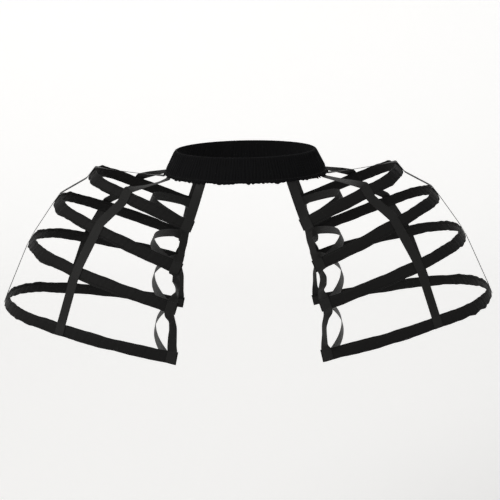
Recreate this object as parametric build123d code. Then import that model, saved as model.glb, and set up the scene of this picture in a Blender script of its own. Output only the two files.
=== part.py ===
"""Crinoline cage: two side hoops of four bones each, hung by tapes from a gathered waistband.

Millimetres. The origin is the middle of the waist opening, +X points to the side, -Y to the front
and +Z up. Right and left are the viewer's, from the front.
"""

import os
from collections import namedtuple
from math import acos, atan2, cos, hypot, radians, sin

from build123d import *

# Waistband casing: sizes at its hem of the surface midway between its two plies, narrower at the top
BAND_HEIGHT = 44.0
BAND_TOP_WIDTH = 250.0
BAND_HEM_WIDTH = 294.0
BAND_HEM_DEPTH = 200.0
BAND_PLY = 1.2
BAND_FOLD = 1.6
GATHER_HEIGHT = 1.6
FACET_COUNT = 48
GATHERS_PER_FACET = 3

# Elastic inside the casing
ELASTIC_WIDTH = 30.0
ELASTIC_THICK = 1.6

# Flat fabric sleeves of the hoops and the bones inside them
SLEEVE_WIDTH = 22.0
SLEEVE_THICK = 3.6
BONE_WIDTH = 12.0
BONE_THICK = 1.4
BONE_INSET = 6.0
LEG_STEP_COUNT = 9
CROWN_STEP_COUNT = 18

# Tapes that hang from the waistband, and the stays across the open side of each hoop
TAPE_WIDTH = 17.0
TAPE_THICK = 0.8
TAPE_TUCK = 9.0
TAPE_DROP = 1.6
TAPE_OVERHANG = 1.0
TAPE_END_MARGIN = 2.0
FRONT_TAPE_FACET_COUNT = 7
FRONT_SIDE_TAPE_FACET_COUNT = 2
FRONT_SIDE_TAPE_SHARES = [0.65, 0.65, 0.65, 0.65]
BACK_SIDE_TAPE_FACET_COUNT = 4
BACK_SIDE_TAPE_SHARES = [0.58, 0.66, 0.67, 0.68]
STAY_REACH = 174.0
STAY_TAB = 15.0
STAY_STEP_COUNT = 12

# Turns of the tapes on the way to each hoop: of the front and back ones on either side, and of the others
RIGHT_TWIST_DEGS = [(), (40, 43, 44, 42), (62, 32, 22, 48), (60, 66, 64, 50)]
LEFT_TWIST_DEGS = [(), (34, 30, 34, 48), (38, 20, 56, 70), (58, 40, 25, 18)]
BACK_SIDE_TWIST_DEGS = [(8, 6), (), (), ()]
NO_TWIST_DEGS = [(), (), (), ()]

# Room between pieces that are sewn or slipped together
FIT = 0.3

# Each hoop's centre line: outermost point, sleeve end, half depth at that end, and both heights
HOOP_1_REACH = 279.0
HOOP_1_END = 96.0
HOOP_1_HALF_DEPTH = 90.0
HOOP_1_CROWN_HEIGHT = -17.0
HOOP_1_END_HEIGHT = -100.0
HOOP_1_CROWN_DEG = 70.0
HOOP_1_LEAN_DEG = 14.0

HOOP_2_REACH = 344.5
HOOP_2_END = 117.0
HOOP_2_HALF_DEPTH = 123.0
HOOP_2_CROWN_HEIGHT = -65.0
HOOP_2_END_HEIGHT = -168.0
HOOP_2_CROWN_DEG = 62.0
HOOP_2_LEAN_DEG = 13.0

HOOP_3_REACH = 395.0
HOOP_3_END = 125.0
HOOP_3_HALF_DEPTH = 168.0
HOOP_3_CROWN_HEIGHT = -138.0
HOOP_3_END_HEIGHT = -227.0
HOOP_3_CROWN_DEG = 57.0
HOOP_3_LEAN_DEG = 12.0

HOOP_4_REACH = 445.5
HOOP_4_END = 127.0
HOOP_4_HALF_DEPTH = 175.0
HOOP_4_CROWN_HEIGHT = -248.0
HOOP_4_END_HEIGHT = -317.0
HOOP_4_CROWN_DEG = 63.0
HOOP_4_LEAN_DEG = 10.0

# Sizes that follow from those above
SLOT_WIDTH = ELASTIC_THICK + 2 * FIT
CAVITY_WIDTH = BONE_WIDTH + 2 * FIT
CAVITY_THICK = BONE_THICK + 2 * FIT
BAND_TOP = BAND_HEIGHT / 2
BAND_HEM = -BAND_HEIGHT / 2
SLOT_TOP = BAND_TOP - BAND_FOLD
BAND_NARROWING = (BAND_HEM_WIDTH - BAND_TOP_WIDTH) / BAND_HEM_WIDTH

Frame = namedtuple("Frame", "place along outward upward")


class Hoop:
    """A three-centred curve in a plane that rises from the front and back ends to the crown at the side.

    The crown is an arc of crown_radius, and each leg an arc of leg_radius that runs on from it without
    a corner and ends square to the front or back. A place on it is named by the angle of its outward
    direction: -90 degrees at the front end, 0 at the crown and 90 at the back end.
    """

    def __init__(self, reach, end, half_depth, crown_height, end_height, crown_deg, lean_deg):
        self.end = end
        self.tilt = atan2(crown_height - end_height, reach - end)
        self.length = hypot(crown_height - end_height, reach - end)
        self.lean = radians(lean_deg)
        self.crown = radians(crown_deg)
        slack = (1 - sin(self.crown)) / cos(self.crown)
        self.crown_radius = (half_depth - self.length * slack) / (1 - slack)
        self.crown_centre = self.length - self.crown_radius
        self.leg_radius = self.crown_radius + self.crown_centre / cos(self.crown)
        self.leg_centre = self.leg_radius - half_depth
        self.start = Vector(end, 0, end_height)
        self.out = Vector(cos(self.tilt), 0, sin(self.tilt))
        self.normal = Vector(-sin(self.tilt), 0, cos(self.tilt))
        self.back = Vector(0, 1, 0)

    def in_plane(self, out, back):
        """The point at these distances from the middle of the open side, in the hoop's plane."""
        return self.start + self.out * out + self.back * back

    def angle_at(self, out):
        """The angle of the front leg's place that is this far out from its end."""
        return -acos(out / self.leg_radius)

    def frame(self, angle):
        """The centre line's place there, with the sleeve's top edge leaning in from square to the plane."""
        if angle < -self.crown:
            out = self.leg_radius * cos(angle)
            back = self.leg_centre + self.leg_radius * sin(angle)
        elif angle > self.crown:
            out = self.leg_radius * cos(angle)
            back = -self.leg_centre + self.leg_radius * sin(angle)
        else:
            out = self.crown_centre + self.crown_radius * cos(angle)
            back = self.crown_radius * sin(angle)
        away = self.out * cos(angle) + self.back * sin(angle)
        along = self.back * cos(angle) - self.out * sin(angle)
        outward = away * cos(self.lean) + self.normal * sin(self.lean)
        upward = self.normal * cos(self.lean) - away * sin(self.lean)
        return Frame(self.in_plane(out, back), along, outward, upward)

    def frames(self, inset):
        """Frames from the front end to the back one, starting this far in from each end."""
        end = radians(90) - inset / self.leg_radius
        legs = [end + (self.crown - end) * step / LEG_STEP_COUNT for step in range(LEG_STEP_COUNT)]
        crowns = [self.crown * (2 * step / CROWN_STEP_COUNT - 1) for step in range(CROWN_STEP_COUNT + 1)]
        angles = [-angle for angle in legs] + crowns + legs[::-1]
        return [self.frame(angle) for angle in angles]

    def first_length(self, distance):
        """The frame this far along the first straight length of the sleeve."""
        near, far = self.frames(0)[:2]
        share = distance / (far.place - near.place).length
        return Frame(*[start + (end - start) * share for start, end in zip(near, far)])


HOOPS = [
    Hoop(HOOP_1_REACH, HOOP_1_END, HOOP_1_HALF_DEPTH, HOOP_1_CROWN_HEIGHT, HOOP_1_END_HEIGHT,
         HOOP_1_CROWN_DEG, HOOP_1_LEAN_DEG),
    Hoop(HOOP_2_REACH, HOOP_2_END, HOOP_2_HALF_DEPTH, HOOP_2_CROWN_HEIGHT, HOOP_2_END_HEIGHT,
         HOOP_2_CROWN_DEG, HOOP_2_LEAN_DEG),
    Hoop(HOOP_3_REACH, HOOP_3_END, HOOP_3_HALF_DEPTH, HOOP_3_CROWN_HEIGHT, HOOP_3_END_HEIGHT,
         HOOP_3_CROWN_DEG, HOOP_3_LEAN_DEG),
    Hoop(HOOP_4_REACH, HOOP_4_END, HOOP_4_HALF_DEPTH, HOOP_4_CROWN_HEIGHT, HOOP_4_END_HEIGHT,
         HOOP_4_CROWN_DEG, HOOP_4_LEAN_DEG),
]

HEM_RING = Edge.make_ellipse(BAND_HEM_WIDTH / 2, BAND_HEM_DEPTH / 2)


def waist_point(turn, height, offset):
    """A point of the flared waist surface, a share of a turn from the right side, pushed out by offset."""
    scale = 1 - BAND_NARROWING * (height - BAND_HEM) / BAND_HEIGHT
    along = HEM_RING.tangent_at(turn % 1)
    at_hem = HEM_RING.position_at(turn % 1) + Vector(along.Y, -along.X, 0) * offset
    return at_hem * scale + Vector(0, 0, height)


def waist_ring(height, offsets, count):
    """The points of an outline round the waist, taking the offsets by turns."""
    return [
        waist_point((step - len(offsets) / 2) / count, height, offsets[step % len(offsets)])
        for step in range(count)
    ]


def flat_face(corners):
    """The flat face with these corners."""
    return Face(Wire.make_polygon(corners, close=True))


def faceted_solid(outlines):
    """The solid through outlines of as many corners each, with a flat wall along each pair of edges."""
    faces = [flat_face(outlines[0]), flat_face(outlines[-1])]
    for near, far in zip(outlines, outlines[1:]):
        for corner in range(len(near)):
            faces.append(flat_face([near[corner - 1], near[corner], far[corner], far[corner - 1]]))
    return Solid(Shell(faces))


def waist_solid(low, high, offsets, count):
    """The solid inside the flared waist surface between two heights."""
    return faceted_solid([waist_ring(low, offsets, count), waist_ring(high, offsets, count)])


def waistband_casing():
    """A strip folded over at the top, open below for the elastic and the tapes, gathered on the outside."""
    valley = SLOT_WIDTH / 2 + BAND_PLY
    crest = valley + GATHER_HEIGHT
    gathers = (valley, crest) * GATHERS_PER_FACET
    casing = waist_solid(BAND_HEM, BAND_TOP, gathers, FACET_COUNT * len(gathers))
    casing -= waist_solid(BAND_HEM, BAND_TOP, [-valley], FACET_COUNT)
    slot = waist_solid(BAND_HEM, SLOT_TOP, [SLOT_WIDTH / 2], FACET_COUNT)
    slot -= waist_solid(BAND_HEM, SLOT_TOP, [-SLOT_WIDTH / 2], FACET_COUNT)
    return casing - slot


def waist_elastic():
    """The elastic ring under the fold of the casing."""
    high = SLOT_TOP - FIT
    low = high - ELASTIC_WIDTH
    ring = waist_solid(low, high, [ELASTIC_THICK / 2], FACET_COUNT)
    return ring - waist_solid(low, high, [-ELASTIC_THICK / 2], FACET_COUNT)


def hoop_bar(hoop, width, thick, inset):
    """A flat bar along the hoop's centre line, made of short straight lengths."""
    outlines = []
    for frame in hoop.frames(inset):
        edge = frame.upward * (width / 2)
        face = frame.outward * (thick / 2)
        low = frame.place - edge
        high = frame.place + edge
        outlines.append([low - face, high - face, high + face, low + face])
    return faceted_solid(outlines)


def hoop_sleeve(hoop):
    """The fabric sleeve, with the bone's channel right through it."""
    return hoop_bar(hoop, SLEEVE_WIDTH, SLEEVE_THICK, 0) - hoop_bar(hoop, CAVITY_WIDTH, CAVITY_THICK, -FIT)


def hoop_bone(hoop):
    """The flat bone, short of both ends of its sleeve."""
    return hoop_bar(hoop, BONE_WIDTH, BONE_THICK, BONE_INSET)


def folded_solid(outlines):
    """The solid through four-cornered outlines, opposite walls folded along the same diagonal."""
    faces = [flat_face(outlines[0]), flat_face(outlines[-1])]
    for near, far in zip(outlines, outlines[1:]):
        for first, second in [(0, 1), (3, 2), (0, 3), (1, 2)]:
            faces.append(flat_face([near[first], near[second], far[second]]))
            faces.append(flat_face([near[first], far[second], far[first]]))
    return Solid(Shell(faces))


def ribbon(stops, width, thick):
    """A flat tape through stops of a place and the direction across it, mitred where it bends."""
    places = [place for place, across in stops]
    runs = [(end - start).normalized() for start, end in zip(places, places[1:])]
    outlines = []
    for (place, across), run_in, run_out in zip(stops, runs[:1] + runs, runs + runs[-1:]):
        face_in = across.cross(run_in).normalized()
        face_out = across.cross(run_out).normalized()
        half = (face_in + face_out) * (thick / 2 / (1 + face_in.dot(face_out)))
        low = place - across * (width / 2)
        high = place + across * (width / 2)
        outlines.append([low - half, high - half, high + half, low + half])
    return folded_solid(outlines)


def twisted_stops(start, end, twist_degs):
    """Stops from one to the next, turned about the edge by the open side so that the other swings out."""
    run = (end[0] - start[0]).normalized()
    stops = []
    for step, twist in enumerate(twist_degs):
        share = (step + 1 / 2) / len(twist_degs)
        place = start[0] + (end[0] - start[0]) * share
        across = start[1] + (end[1] - start[1]) * share
        across = (across - run * across.dot(run)).normalized()
        turned = across * cos(radians(twist)) + run.cross(across) * sin(radians(twist))
        stops.append((place + (turned - across) * (TAPE_WIDTH / 2), turned))
    return stops


def hanging_tape(facet, angle_of, twist_degs):
    """A tape from the waistband's slot down over the outside of all four hoops."""
    turn = -facet / FACET_COUNT
    rise = waist_point(turn, BAND_TOP, 0) - waist_point(turn, BAND_HEM, 0)
    slope = rise.normalized()
    along = HEM_RING.tangent_at(turn % 1)
    hem = waist_point(turn, BAND_HEM, 0)
    stops = [(hem + slope * TAPE_TUCK, along), (hem - slope * TAPE_DROP, along)]
    lift = SLEEVE_THICK / 2 + FIT + TAPE_THICK / 2
    for hoop, twists in zip(HOOPS, twist_degs):
        frame = hoop.frame(angle_of(hoop))
        above = SLEEVE_WIDTH / 2 + TAPE_OVERHANG
        below = SLEEVE_WIDTH / 2 if hoop is HOOPS[-1] else above
        face = frame.place + frame.outward * lift
        top = (face + frame.upward * above, frame.along)
        stops += twisted_stops(stops[-1], top, twists)
        stops += [top, (face - frame.upward * below, frame.along)]
    return ribbon(stops, TAPE_WIDTH, TAPE_THICK)


def front_tape(twist_degs):
    """The tape over the front ends of the hoops."""
    inset = TAPE_END_MARGIN + TAPE_WIDTH / 2
    return hanging_tape(FRONT_TAPE_FACET_COUNT, lambda hoop: hoop.angle_at(inset), twist_degs)


def leg_tape(facet, shares, twist_degs):
    """A tape over the front legs, at these shares of the way from their ends to the crowns."""
    places = dict(zip(HOOPS, shares))
    return hanging_tape(facet, lambda hoop: hoop.angle_at(places[hoop] * hoop.length), twist_degs)


def side_tape():
    """The tape over the crowns."""
    return hanging_tape(0, lambda hoop: 0, NO_TWIST_DEGS)


def mirrored(vector):
    """The same vector on the other side of the plane between front and back."""
    return Vector(vector.X, -vector.Y, vector.Z)


def stay(hoop):
    """The tape round the hip from the inside of a hoop's front end to that of its back end."""
    sink = SLEEVE_THICK / 2 + FIT + TAPE_THICK / 2
    tip = hoop.first_length(TAPE_END_MARGIN)
    tab = hoop.first_length(TAPE_END_MARGIN + STAY_TAB)
    front = (tip.place - tip.outward * sink, tip.upward)
    back = (mirrored(front[0]), mirrored(front[1]))
    leave = tab.place - tab.outward * sink
    bulge = hoop.out * ((STAY_REACH - leave.X) / cos(hoop.tilt))
    stops = []
    for step in range(STAY_STEP_COUNT + 1):
        share = 2 * step / STAY_STEP_COUNT - 1
        place = Vector(leave.X, -leave.Y * share, leave.Z) + bulge * (1 - share**2)
        across = tab.upward * (1 - share) + mirrored(tab.upward) * (1 + share)
        stops.append((place, across.normalized()))
    return ribbon([front] + stops + [back], TAPE_WIDTH, TAPE_THICK)


def side_pieces(twist_degs):
    """Every piece of the side hoops by name, as on the right."""
    pieces = {}
    for number, hoop in enumerate(HOOPS, start=1):
        pieces[f"sleeve_{number}"] = hoop_sleeve(hoop)
        pieces[f"bone_{number}"] = hoop_bone(hoop)
        pieces[f"stay_{number}"] = stay(hoop)
    pieces["front_tape"] = front_tape(twist_degs)
    pieces["front_side_tape"] = leg_tape(FRONT_SIDE_TAPE_FACET_COUNT, FRONT_SIDE_TAPE_SHARES, NO_TWIST_DEGS)
    pieces["side_tape"] = side_tape()
    back_leg_tape = leg_tape(BACK_SIDE_TAPE_FACET_COUNT, BACK_SIDE_TAPE_SHARES, BACK_SIDE_TWIST_DEGS)
    pieces["back_side_tape"] = mirror(back_leg_tape, about=Plane.XZ)
    pieces["back_tape"] = mirror(pieces["front_tape"], about=Plane.XZ)
    return pieces


def main():
    """Write one file for each piece of the cage."""
    os.makedirs("parts", exist_ok=True)
    export_step(waistband_casing(), "parts/waistband_casing.step")
    export_step(waist_elastic(), "parts/waist_elastic.step")
    for name, piece in side_pieces(RIGHT_TWIST_DEGS).items():
        export_step(piece, f"parts/right_{name}.step")
    for name, piece in side_pieces(LEFT_TWIST_DEGS).items():
        export_step(mirror(piece, about=Plane.YZ), f"parts/left_{name}.step")


main()
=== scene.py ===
"""Dresses the solids of a crinoline cage: a gathered waistband, sewn hoop sleeves and ribbon tapes.

Metres, in the frame of the solids: +X is the viewer's right, -Y the front and +Z up.
"""

import math
from collections import namedtuple

import bpy
import numpy as np
from bpy.props import FloatProperty, FloatVectorProperty, IntProperty, PointerProperty
from mathutils import Matrix, Vector


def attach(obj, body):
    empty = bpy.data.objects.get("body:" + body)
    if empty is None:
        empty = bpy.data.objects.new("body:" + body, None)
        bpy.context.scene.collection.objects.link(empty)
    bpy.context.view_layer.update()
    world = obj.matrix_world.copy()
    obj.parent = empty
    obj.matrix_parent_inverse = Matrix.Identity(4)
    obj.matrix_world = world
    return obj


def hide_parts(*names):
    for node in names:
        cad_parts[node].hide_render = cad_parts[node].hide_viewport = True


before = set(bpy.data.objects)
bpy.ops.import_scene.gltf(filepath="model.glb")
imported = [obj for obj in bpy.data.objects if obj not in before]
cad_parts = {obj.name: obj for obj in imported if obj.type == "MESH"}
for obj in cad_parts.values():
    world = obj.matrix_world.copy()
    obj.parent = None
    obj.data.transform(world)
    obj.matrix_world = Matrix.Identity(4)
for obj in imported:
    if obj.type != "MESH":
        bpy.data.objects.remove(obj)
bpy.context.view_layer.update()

bl_info = {
    "name": "Crinoline cage",
    "version": (1, 0, 0),
    "blender": (4, 5, 0),
    "location": "3D View > Sidebar > Cage",
    "description": "Dresses the solids of a crinoline cage in gathered cloth, sewn sleeves and ribbon",
    "category": "Object",
}

BODY = "root"
CLOTH_MAP = "cloth"
SIDES = {"right": 1, "left": -1}
HOOP_NUMBERS = (1, 2, 3, 4)
CLOTH_FINISH = 0
THREAD_FINISH = 1
FULL_TURN = 2 * math.pi


def length_property(name, description, default):
    """A length that a user may change."""
    return FloatProperty(name=name, description=description, default=default, unit="LENGTH", precision=4)


def share_property(name, description, default):
    """A share from 0 to 1 that a user may change."""
    return FloatProperty(name=name, description=description, default=default, subtype="FACTOR", min=0, max=1)


def place_property(name, description, default):
    """A point in space that a user may change."""
    return FloatVectorProperty(
        name=name, description=description, default=default, subtype="XYZ", unit="LENGTH"
    )


def number_property(name, description, default):
    """A number that a user may change."""
    return FloatProperty(name=name, description=description, default=default)


def hoop_lengths(name, description, default):
    """One length for each of the four hoops, from the top one down."""
    return FloatVectorProperty(
        name=name, description=description, default=default, size=4, unit="LENGTH", precision=4
    )


def hoop_shares(name, description, default):
    """One share from 0 to 1 for each of the four hoops, from the top one down."""
    return FloatVectorProperty(name=name, description=description, default=default, size=4, min=0, max=1)


def hoop_angles(name, description, degrees):
    """One angle for each of the four hoops, from the top one down."""
    default = [math.radians(angle) for angle in degrees]
    return FloatVectorProperty(name=name, description=description, default=default, size=4, unit="ROTATION")


def colour_property(name, description, default):
    """A cloth or paint colour."""
    return FloatVectorProperty(
        name=name, description=description, default=default, size=3, subtype="COLOR", min=0, max=1
    )


class CageWaist(bpy.types.PropertyGroup):
    """Sizes of the gathered waistband."""

    height: length_property("Height", "Height of the band", 0.044)
    top_width: length_property("Top width", "Width at the top of the line midway between the plies", 0.250)
    hem_width: length_property("Hem width", "Width of that line at the hem", 0.294)
    hem_depth: length_property("Hem depth", "Depth of that line at the hem", 0.200)
    ply: length_property("Ply", "Thickness of one ply of the band's cloth", 0.0007)
    outer_rise: length_property("Outer rise", "Outer ply's distance from that line", 0.00255)
    inner_rise: length_property("Inner rise", "Inner ply's distance from that line", 0.0023)
    outer_gather: length_property("Outer gather", "How far the outer gathers stand in and out", 0.00105)
    inner_gather: length_property("Inner gather", "How far the inner gathers stand in and out", 0.00055)
    seam_height: length_property("Seam height", "Height of the seam over the hem", 0.0055)
    seam_rise: length_property("Seam rise", "Distance of both plies from that line at the seam", 0.00115)
    flare: length_property("Flare", "How far the plies part below the seam", 0.0008)
    frill: length_property("Frill", "How far the hem's scallops stand in and out", 0.0009)
    scallop: length_property("Scallop", "How far the hem dips between scallops", 0.0020)
    flat: FloatVectorProperty(
        name="Flat", description="Width and length of the strip before it is gathered", default=(0.092, 1.1),
        size=2, unit="LENGTH"
    )
    gather_count: IntProperty(name="Gathers", description="Gathers round the band's top", default=150)
    scallop_count: IntProperty(name="Scallops", description="Scallops round the hem", default=86)


class CageHoops(bpy.types.PropertyGroup):
    """Sizes of the hoops and their sleeves."""

    reach: hoop_lengths("Reach", "Outermost point of the centre line", (0.279, 0.3445, 0.395, 0.4455))
    end: hoop_lengths("End", "Sleeve ends' distance from the middle", (0.096, 0.117, 0.125, 0.127))
    half_depth: hoop_lengths("Half depth", "Half of the depth at the ends", (0.090, 0.123, 0.168, 0.175))
    crown_height: hoop_lengths("Crown height", "Height at the side", (-0.017, -0.065, -0.138, -0.248))
    end_height: hoop_lengths("End height", "Height at the ends", (-0.100, -0.168, -0.227, -0.317))
    crown: hoop_angles("Crown", "Half of the angle that the crown's arc takes", (70, 62, 57, 63))
    lean: hoop_angles("Lean", "Lean of the sleeve from square to its plane", (14, 13, 12, 10))
    width: length_property("Sleeve width", "Width of the sleeves", 0.022)
    bone_rise: length_property("Bone rise", "Half of the sleeve's thickness over the bone", 0.00172)
    edge_rise: length_property("Edge rise", "Half of the sleeve's thickness at its edges", 0.00112)
    bone_half: length_property("Bone half", "Half of the width that the bone fills", 0.0063)
    seam: length_property("Seam", "Seams' distance from the centre line", 0.0083)
    groove: length_property("Groove", "Depth to which the seams draw the cloth in", 0.00028)
    wander: length_property("Wander", "How far the sewn edges wander", 0.0006)
    ruche: length_property("Ruche", "How far the edges ruche round the crowns", 0.0006)
    billow: length_property("Billow", "How far the edges billow out of the sleeve's plane there", 0.0007)
    pucker: length_property("Pucker", "Height of the puckers along the seams", 0.00022)


class CageTapes(bpy.types.PropertyGroup):
    """Sizes of the hanging tapes and the stays."""

    width: length_property("Width", "Width of the tapes", 0.017)
    thick: length_property("Thickness", "Thickness of the tapes", 0.0008)
    lift: length_property("Lift", "Tapes' distance from the sleeves' centre lines", 0.0025)
    tuck: length_property("Tuck", "Length tucked into the waistband", 0.009)
    drop: length_property("Drop", "Length that hangs straight below the waistband", 0.0016)
    overhang: length_property("Overhang", "Length that lies flat above and below a sleeve", 0.001)
    ease: length_property("Ease", "Length over which a tape bends on to a sleeve", 0.008)
    end_margin: length_property("End margin", "Distance from a sleeve's end", 0.002)
    hem_margin: length_property("Hem margin", "Distance from the lowest sleeve's lower edge", 0.001)
    stay_reach: length_property("Stay reach", "Outermost point of the stays", 0.174)
    stay_tab: length_property("Stay tab", "Length sewn inside a sleeve's end", 0.015)
    front_turn: share_property("Front turn", "Front and back tapes' place round the waist", 7 / 48)
    front_side_turn: share_property("Front side turn", "Front side tape's place round it", 2 / 48)
    front_side_shares: hoop_shares(
        "Front side shares", "Front side tape's places on the legs, from end to crown", (0.65,) * 4
    )
    back_side_turn: share_property("Back side turn", "Back side tape's place round the waist", 4 / 48)
    back_side_shares: hoop_shares(
        "Back side shares", "Back side tape's places on the legs, from end to crown", (0.58, 0.66, 0.67, 0.68)
    )


class CageSewing(bpy.types.PropertyGroup):
    """Sizes of the stitches."""

    pitch: length_property("Pitch", "From one stitch of a seam to the next", 0.0034)
    thread: length_property("Thread", "Thickness of the thread", 0.0005)
    band_stitch: length_property("Band stitch", "Length of the waistband's stitches", 0.0025)
    sleeve_stitch: length_property("Sleeve stitch", "Length of the sleeves' stitches", 0.002448)
    tape_stitch: length_property("Tape stitch", "Length of the stitches across the tapes", 0.0030)
    row_margin: length_property("Row margin", "From a row across a tape to the end of its sewn part", 0.003)


class CageColours(bpy.types.PropertyGroup):
    """Colours of the cloths and the stage."""

    waistband: colour_property("Waistband", "Matte cloth of the waistband", (0.0052, 0.0052, 0.0056))
    sleeve: colour_property("Sleeve", "Cloth of the hoop sleeves", (0.0090, 0.0088, 0.0086))
    tape: colour_property("Tape", "Ribbon of the tapes and stays", (0.0145, 0.0143, 0.0139))
    thread: colour_property("Thread", "Sewing thread", (0.0150, 0.0150, 0.0150))
    elastic: colour_property("Elastic", "Waist elastic", (0.0450, 0.0450, 0.0450))
    bone: colour_property("Bone", "Hoop bones", (0.7200, 0.7100, 0.6700))
    backdrop: colour_property("Backdrop", "Floor and backdrop", (0.9000, 0.8960, 0.8880))
    room: colour_property("Room", "White of the backdrop's glow and the room", (1.0, 0.997, 0.99))


class CageStage(bpy.types.PropertyGroup):
    """Camera, lamps and floor."""

    camera: place_property("Camera", "Camera's place", (0, -2.800, 0.5526))
    aim: place_property("Aim", "Point that the camera looks at", (0, 0, -0.167))
    roll: FloatProperty(
        name="Roll", description="Camera's roll", default=math.radians(-1.08), subtype="ANGLE"
    )
    lens: number_property("Lens", "Focal length in millimetres", 113.1)
    shift: number_property("Shift", "Camera's sideways shift", 0.0054)
    floor: length_property("Floor", "Height of the floor", -1.05)
    reach: length_property("Reach", "Backdrop's reach to either side, to the front and upwards", 6.0)
    behind: length_property("Behind", "Distance at which the floor starts to bend upwards", 3.0)
    bend: length_property("Bend", "Radius of that bend", 1.5)
    key: number_property("Key", "Watts of the key lamp", 72)
    fill: number_property("Fill", "Watts of the fill lamp", 12)
    back: number_property("Back", "Watts of the lamp behind", 16)
    sky: number_property("Sky", "Strength of the world's light", 0.32)
    room: number_property("Room", "Brightness of the room beyond the backdrop", 0.90)


# Curves that the pieces follow

RING_SAMPLE_COUNT = 7201


def unit(vectors):
    """Each vector over its own length."""
    return vectors / np.linalg.norm(vectors, axis=-1, keepdims=True)


def smooth(low, high, value):
    """The cubic 3t^2 - 2t^3 that climbs from 0 at low to 1 at high."""
    share = np.clip((value - low) / (high - low), 0, 1)
    return share * share * (3 - 2 * share)


def bell(value, width):
    """exp(-(value / width)^2)."""
    return np.exp(-((value / width) ** 2))


def ripple(places, waves, seed):
    """A sum of sines over places, one for each wave's length and height, with phases drawn from a seed."""
    phases = np.random.default_rng(seed).uniform(0, FULL_TURN, len(waves))
    total = np.zeros_like(places)
    for (spacing, height), phase in zip(waves, phases):
        total = total + height * np.sin(FULL_TURN * places / spacing + phase)
    return total


def distances_along(points):
    """Each point's distance from the first, along the line of points."""
    return np.concatenate([[0], np.cumsum(np.linalg.norm(np.diff(points, axis=0), axis=1))])


def at_distances(even, distances, vectors):
    """Vectors that are given at distances along a line, at other distances."""
    return np.stack([np.interp(even, distances, column) for column in vectors.T], -1)


class Waist:
    """The flared ring midway between the plies of the band: an ellipse at the hem that narrows to the top."""

    def __init__(self, sizes):
        self.height = sizes.height
        self.narrowing = (sizes.hem_width - sizes.top_width) / sizes.hem_width
        self.half = np.array([sizes.hem_width, sizes.hem_depth]) / 2
        self.angles = np.linspace(0, FULL_TURN, RING_SAMPLE_COUNT)
        self.lengths = distances_along(np.stack([np.cos(self.angles), np.sin(self.angles)], -1) * self.half)
        self.girth = self.lengths[-1]

    def angle(self, turn):
        """The ellipse's angle at a share of its girth from the right side."""
        return np.interp(turn % 1 * self.girth, self.lengths, self.angles)

    def tangent(self, turn):
        """The direction round the ring there."""
        angle = self.angle(turn)
        flat = np.stack([-self.half[0] * np.sin(angle), self.half[1] * np.cos(angle), 0 * angle], -1)
        return unit(flat)

    def point(self, turn, height, offset):
        """(hem point + outward normal * offset) * (1 - narrowing * share of the height), at that height."""
        angle = self.angle(turn)
        along = self.tangent(turn)
        scale = 1 - self.narrowing * (height / self.height + 0.5)
        out_x = (self.half[0] * np.cos(angle) + along[..., 1] * offset) * scale
        out_y = (self.half[1] * np.sin(angle) - along[..., 0] * offset) * scale
        return np.stack([out_x, out_y, height + 0 * out_x], -1)


class Hoop:
    """A three-centred curve in a plane that rises from the front and back ends to the crown at the side."""

    def __init__(self, sizes, number):
        pick = number - 1
        rise = sizes.crown_height[pick] - sizes.end_height[pick]
        run = sizes.reach[pick] - sizes.end[pick]
        self.tilt = math.atan2(rise, run)
        self.span = math.hypot(rise, run)
        self.crown = sizes.crown[pick]
        self.lean = sizes.lean[pick]
        half_depth = sizes.half_depth[pick]
        slack = (1 - math.sin(self.crown)) / math.cos(self.crown)
        self.crown_radius = (half_depth - self.span * slack) / (1 - slack)
        self.crown_centre = self.span - self.crown_radius
        self.leg_radius = self.crown_radius + self.crown_centre / math.cos(self.crown)
        self.leg_centre = self.leg_radius - half_depth
        self.start = np.array([sizes.end[pick], 0, sizes.end_height[pick]])
        self.out = np.array([math.cos(self.tilt), 0, math.sin(self.tilt)])
        self.normal = np.array([-math.sin(self.tilt), 0, math.cos(self.tilt)])
        self.back = np.array([0.0, 1.0, 0.0])
        self.leg_length = self.leg_radius * (math.pi / 2 - self.crown)
        self.length = 2 * self.leg_length + 2 * self.crown_radius * self.crown

    def angle_at(self, out):
        """The angle of the front leg's place that is this far out from its end."""
        return -math.acos(out / self.leg_radius)

    def leg_angle(self, share):
        """The angle of the front leg's place at a share of the way out from its end to the crown."""
        return self.angle_at(share * self.span)

    def angles(self, distances):
        """The outward direction's angle at distances along the centre line from the front end."""
        marks = [0, self.leg_length, self.length - self.leg_length, self.length]
        return np.interp(distances, marks, [-math.pi / 2, -self.crown, self.crown, math.pi / 2])

    def frames(self, angles):
        """Places, and directions along, outward and upward, at angles from -90 to 90 degrees.

        A leg's place is radius * (cos, sin) about its own centre, the crown's about the crown's. The
        sleeve leans: outward = away * cos(lean) + normal * sin(lean).
        """
        angles = np.asarray(angles, float)
        on_leg = np.abs(angles) > self.crown
        leg_out = self.leg_radius * np.cos(angles)
        leg_back = self.leg_radius * np.sin(angles) - np.sign(angles) * self.leg_centre
        out = np.where(on_leg, leg_out, self.crown_centre + self.crown_radius * np.cos(angles))[..., None]
        back = np.where(on_leg, leg_back, self.crown_radius * np.sin(angles))[..., None]
        cosine = np.cos(angles)[..., None]
        sine = np.sin(angles)[..., None]
        away = self.out * cosine + self.back * sine
        along = self.back * cosine - self.out * sine
        outward = away * math.cos(self.lean) + self.normal * math.sin(self.lean)
        upward = self.normal * math.cos(self.lean) - away * math.sin(self.lean)
        return self.start + self.out * out + self.back * back, along, outward, upward


# Meshes

# A stitch: stations along it, corners round it, and how high its middle stands and how far its ends sink,
# as shares of half of the thread
STITCH_STATIONS = (-1, -0.5, 0.5, 1)
STITCH_CORNER_COUNT = 4
STITCH_STAND_SHARE = 0.7
STITCH_SINK_SHARE = 1.5


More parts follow.
